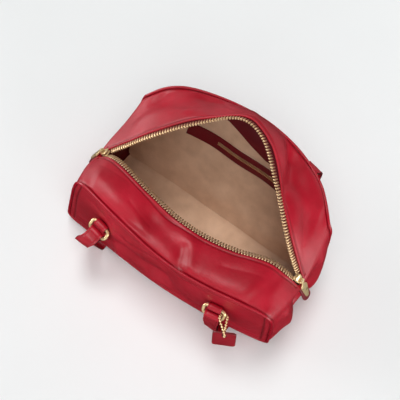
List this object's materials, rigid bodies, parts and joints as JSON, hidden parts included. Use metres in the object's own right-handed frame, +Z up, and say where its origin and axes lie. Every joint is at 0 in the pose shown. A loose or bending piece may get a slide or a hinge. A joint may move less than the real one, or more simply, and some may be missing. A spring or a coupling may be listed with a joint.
{
  "type": "shoulder bag",
  "caption": "Soft red leather zip-top shoulder bag, standing with its zip run open and its straps on brass rings tucked under the base.",
  "frame": {"origin": "middle of the bag's footprint box, on the surface it stands on", "axes": "+Z up, +X along the bag towards its right end, -Y towards its front panel"},
  "size_m": [0.3012, 0.2242, 0.2004],
  "materials": {
    "red_leather": "smooth red leather with a fine grain and a soft sheen",
    "edge_leather": "darker red leather with painted edges",
    "zip_tape": "dark red woven zip tape",
    "lining_cloth": "tan twill lining",
    "brass": "polished antique brass"
  },
  "bodies": {
    "bag": {"front_panel": "red_leather", "back_panel": "red_leather", "base": "red_leather", "side_left": "red_leather", "side_right": "red_leather", "top_front": "red_leather", "top_back": "red_leather", "front_piping": "red_leather", "back_piping": "red_leather", "lining_back": "lining_cloth", "pocket_welt": "red_leather", "pocket_zip": "brass", "zip_tape_front": "zip_tape", "zip_tape_back": "zip_tape", "zip_teeth_front": "brass", "zip_teeth_back": "brass", "strap_front": "red_leather", "strap_back": "red_leather", "leather_fob": "edge_leather", "fob_chain": "brass", "zip_slider_left": "brass", "zip_slider_right": "brass", "ring_tab_front_left": "red_leather", "ring_front_left": "brass", "ring_tab_front_right": "red_leather", "ring_front_right": "brass", "ring_tab_back_left": "red_leather", "ring_back_left": "brass", "ring_tab_back_right": "red_leather", "ring_back_right": "brass"},
    "pull_left": {"zip_pull_left": "brass", "pull_leather_left": "edge_leather"},
    "pull_right": {"zip_pull_right": "brass", "pull_leather_right": "edge_leather"}
  },
  "joints": [
    {"name": "left_pull_hinge", "type": "hinge", "parent": "bag", "child": "pull_left", "pos_m": [-0.12778, -0.01824, 0.1276], "axis": [-0.1564, 0.9693, -0.1896], "range_deg": [0, 150]},
    {"name": "right_pull_hinge", "type": "hinge", "parent": "bag", "child": "pull_right", "pos_m": [0.13714, -0.01303, 0.12769], "axis": [-0.0546, -0.996, 0.0711], "range_deg": [0, 150]}
  ]
}
